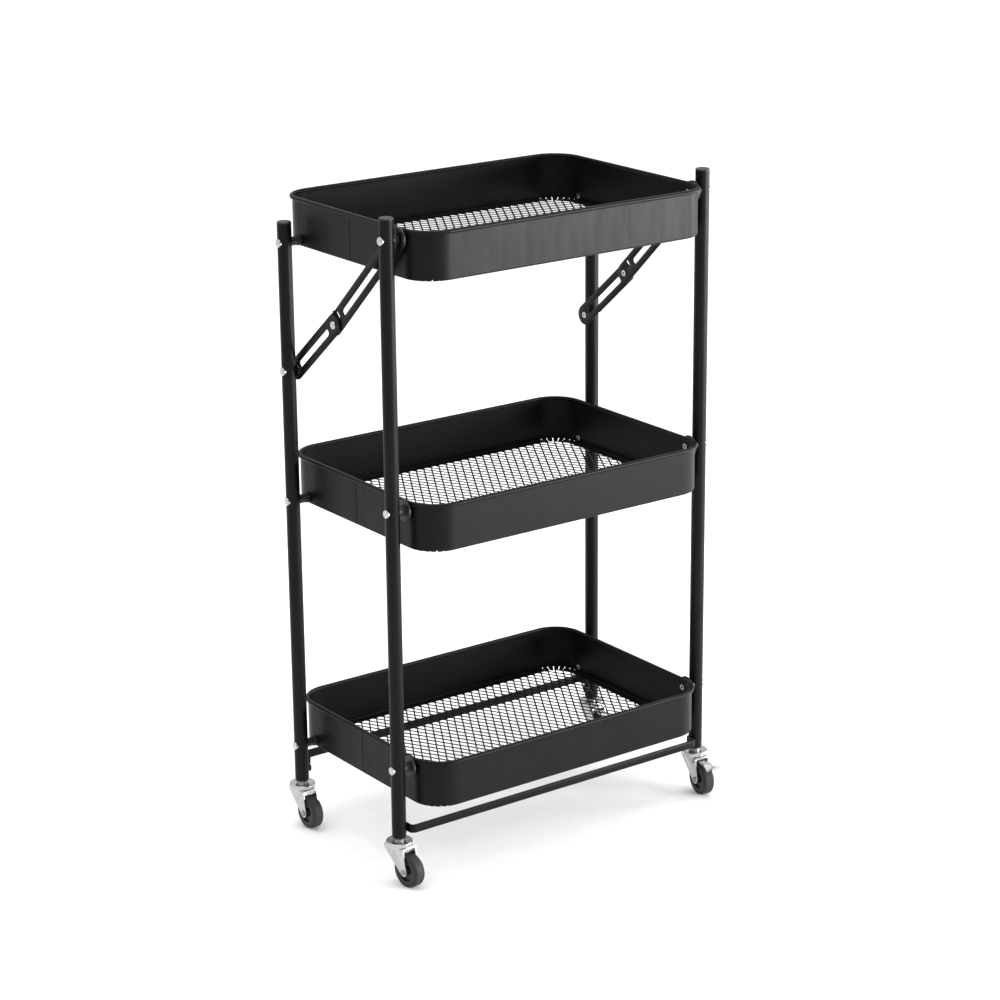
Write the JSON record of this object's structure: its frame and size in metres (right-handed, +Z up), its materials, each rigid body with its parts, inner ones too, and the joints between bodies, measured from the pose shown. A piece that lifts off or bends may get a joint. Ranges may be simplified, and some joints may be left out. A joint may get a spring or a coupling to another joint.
{
  "type": "rolling utility cart",
  "caption": "Folding black steel cart with shallow mesh-floored trays on tube legs, slotted side braces and small swivel casters with brake pedals.",
  "frame": {"origin": "centre of the footprint on the floor under the wheels", "axes": "+Z up, +X along the trays to the right end, -Y to the front, where the brake pedals point"},
  "size_m": [0.454, 0.2936, 0.7483],
  "materials": {
    "black_powder_coat": "black satin powder coat",
    "zinc_plate": "bright zinc plate",
    "black_plastic": "black moulded nylon",
    "caster_tread": "dark grey thermoplastic rubber",
    "stop_rubber": "black rubber",
    "axle_steel": "dull steel",
    "bearing_steel": "polished steel balls"
  },
  "bodies": {
    "front_frame": {"front_left_leg": "black_powder_coat", "front_right_leg": "black_powder_coat", "front_leg_caps": "black_plastic", "front_crossbar": "black_powder_coat", "front_caster_sockets": "black_plastic", "front_pivot_rivets": "zinc_plate", "front_pivot_discs": "black_plastic", "front_pivot_spacers": "black_plastic", "front_left_stem": "zinc_plate", "front_right_stem": "zinc_plate", "front_left_race_cup": "zinc_plate", "front_right_race_cup": "zinc_plate", "front_caster_balls": "bearing_steel"},
    "top_tray": {"top_tray_wall": "black_powder_coat", "top_tray_mesh": "black_powder_coat"},
    "middle_tray": {"middle_tray_wall": "black_powder_coat", "middle_tray_mesh": "black_powder_coat"},
    "bottom_tray": {"bottom_tray_wall": "black_powder_coat", "bottom_tray_mesh": "black_powder_coat"},
    "rear_frame": {"rear_left_leg": "black_powder_coat", "rear_right_leg": "black_powder_coat", "rear_leg_caps": "black_plastic", "rear_crossbar": "black_powder_coat", "rear_caster_sockets": "black_plastic", "rear_pivot_rivets": "zinc_plate", "rear_pivot_bushings": "black_plastic", "brace_foot_rivets": "zinc_plate", "brace_foot_washers": "zinc_plate", "leg_stops": "stop_rubber", "rear_left_stem": "zinc_plate", "rear_right_stem": "zinc_plate", "rear_left_race_cup": "zinc_plate", "rear_right_race_cup": "zinc_plate", "rear_caster_balls": "bearing_steel"},
    "left_upper_arm": {"left_upper_brace_arm": "black_powder_coat"},
    "left_lower_arm": {"left_lower_brace_arm": "black_powder_coat", "left_brace_rivets": "zinc_plate"},
    "right_upper_arm": {"right_upper_brace_arm": "black_powder_coat"},
    "right_lower_arm": {"right_lower_brace_arm": "black_powder_coat", "right_brace_rivets": "zinc_plate"},
    "front_left_swivel": {"front_left_fork": "zinc_plate", "front_left_axle": "axle_steel"},
    "front_left_wheel": {"front_left_hub": "black_plastic", "front_left_tyre": "caster_tread"},
    "front_right_swivel": {"front_right_fork": "zinc_plate", "front_right_axle": "axle_steel", "front_right_brake_pin": "axle_steel"},
    "front_right_wheel": {"front_right_hub": "black_plastic", "front_right_tyre": "caster_tread"},
    "front_right_pedal": {"front_right_brake_pedal": "zinc_plate"},
    "rear_left_swivel": {"rear_left_fork": "zinc_plate", "rear_left_axle": "axle_steel"},
    "rear_left_wheel": {"rear_left_hub": "black_plastic", "rear_left_tyre": "caster_tread"},
    "rear_right_swivel": {"rear_right_fork": "zinc_plate", "rear_right_axle": "axle_steel", "rear_right_brake_pin": "axle_steel"},
    "rear_right_wheel": {"rear_right_hub": "black_plastic", "rear_right_tyre": "caster_tread"},
    "rear_right_pedal": {"rear_right_brake_pedal": "zinc_plate"}
  },
  "joints": [
    {"name": "fold", "type": "hinge", "parent": "front_frame", "child": "top_tray", "pos_m": [0, -0.0935, 0.724], "axis": [1, 0, 0], "range_deg": [0, 82]},
    {"name": "middle_tray_fold", "type": "hinge", "parent": "front_frame", "child": "middle_tray", "pos_m": [0, -0.0935, 0.429], "axis": [1, 0, 0], "range_deg": [0, 82]},
    {"name": "bottom_tray_fold", "type": "hinge", "parent": "front_frame", "child": "bottom_tray", "pos_m": [0, -0.0935, 0.134], "axis": [1, 0, 0], "range_deg": [0, 82]},
    {"name": "rear_frame_fold", "type": "hinge", "parent": "top_tray", "child": "rear_frame", "pos_m": [0, 0.1065, 0.6875], "axis": [1, 0, 0], "range_deg": [-82, 0]},
    {"name": "left_brace_top", "type": "hinge", "parent": "front_frame", "child": "left_upper_arm", "pos_m": [-0.1992, -0.0935, 0.724], "axis": [1, 0, 0], "range_deg": [0, 106.78]},
    {"name": "left_brace_hinge", "type": "hinge", "parent": "left_upper_arm", "child": "left_lower_arm", "pos_m": [-0.2003, 0.0282, 0.6084], "axis": [1, 0, 0], "range_deg": [-163.49, 0]},
    {"name": "right_brace_top", "type": "hinge", "parent": "front_frame", "child": "right_upper_arm", "pos_m": [0.1992, -0.0935, 0.724], "axis": [1, 0, 0], "range_deg": [0, 106.78]},
    {"name": "right_brace_hinge", "type": "hinge", "parent": "right_upper_arm", "child": "right_lower_arm", "pos_m": [0.2003, 0.0282, 0.6084], "axis": [1, 0, 0], "range_deg": [-163.49, 0]},
    {"name": "front_left_swivel_turn", "type": "hinge", "parent": "front_frame", "child": "front_left_swivel", "pos_m": [-0.212, -0.0935, 0.0445], "axis": [0, 0, 1], "continuous": true},
    {"name": "front_left_wheel_spin", "type": "hinge", "parent": "front_left_swivel", "child": "front_left_wheel", "pos_m": [-0.20977, -0.10934, 0.019], "axis": [0.9903, 0.1392, 0], "continuous": true},
    {"name": "front_right_swivel_turn", "type": "hinge", "parent": "front_frame", "child": "front_right_swivel", "pos_m": [0.212, -0.0935, 0.0445], "axis": [0, 0, 1], "continuous": true},
    {"name": "front_right_wheel_spin", "type": "hinge", "parent": "front_right_swivel", "child": "front_right_wheel", "pos_m": [0.20977, -0.10934, 0.019], "axis": [0.9903, -0.1392, 0], "continuous": true},
    {"name": "front_right_brake", "type": "hinge", "parent": "front_right_swivel", "child": "front_right_pedal", "pos_m": [0.21033, -0.10538, 0.0408], "axis": [0.9903, -0.1392, 0], "range_deg": [0, 12]},
    {"name": "rear_left_swivel_turn", "type": "hinge", "parent": "rear_frame", "child": "rear_left_swivel", "pos_m": [-0.212, 0.1065, 0.0445], "axis": [0, 0, 1], "continuous": true},
    {"name": "rear_left_wheel_spin", "type": "hinge", "parent": "rear_left_swivel", "child": "rear_left_wheel", "pos_m": [-0.212, 0.0905, 0.019], "axis": [1, 0, 0], "continuous": true},
    {"name": "rear_right_swivel_turn", "type": "hinge", "parent": "rear_frame", "child": "rear_right_swivel", "pos_m": [0.212, 0.1065, 0.0445], "axis": [0, 0, 1], "continuous": true},
    {"name": "rear_right_wheel_spin", "type": "hinge", "parent": "rear_right_swivel", "child": "rear_right_wheel", "pos_m": [0.21088, 0.09054, 0.019], "axis": [0.9976, -0.0698, 0], "continuous": true},
    {"name": "rear_right_brake", "type": "hinge", "parent": "rear_right_swivel", "child": "rear_right_pedal", "pos_m": [0.21116, 0.09453, 0.0408], "axis": [0.9976, -0.0698, 0], "range_deg": [0, 12]}
  ],
  "couplings": [
    {"joint": "middle_tray_fold", "follows": "fold", "ratio": 1},
    {"joint": "bottom_tray_fold", "follows": "fold", "ratio": 1},
    {"joint": "rear_frame_fold", "follows": "fold", "ratio": -1},
    {"joint": "left_brace_top", "follows": "fold", "ratio": 1.3015},
    {"joint": "left_brace_hinge", "follows": "fold", "ratio": -1.9932},
    {"joint": "right_brace_top", "follows": "fold", "ratio": 1.3015},
    {"joint": "right_brace_hinge", "follows": "fold", "ratio": -1.9932}
  ]
}
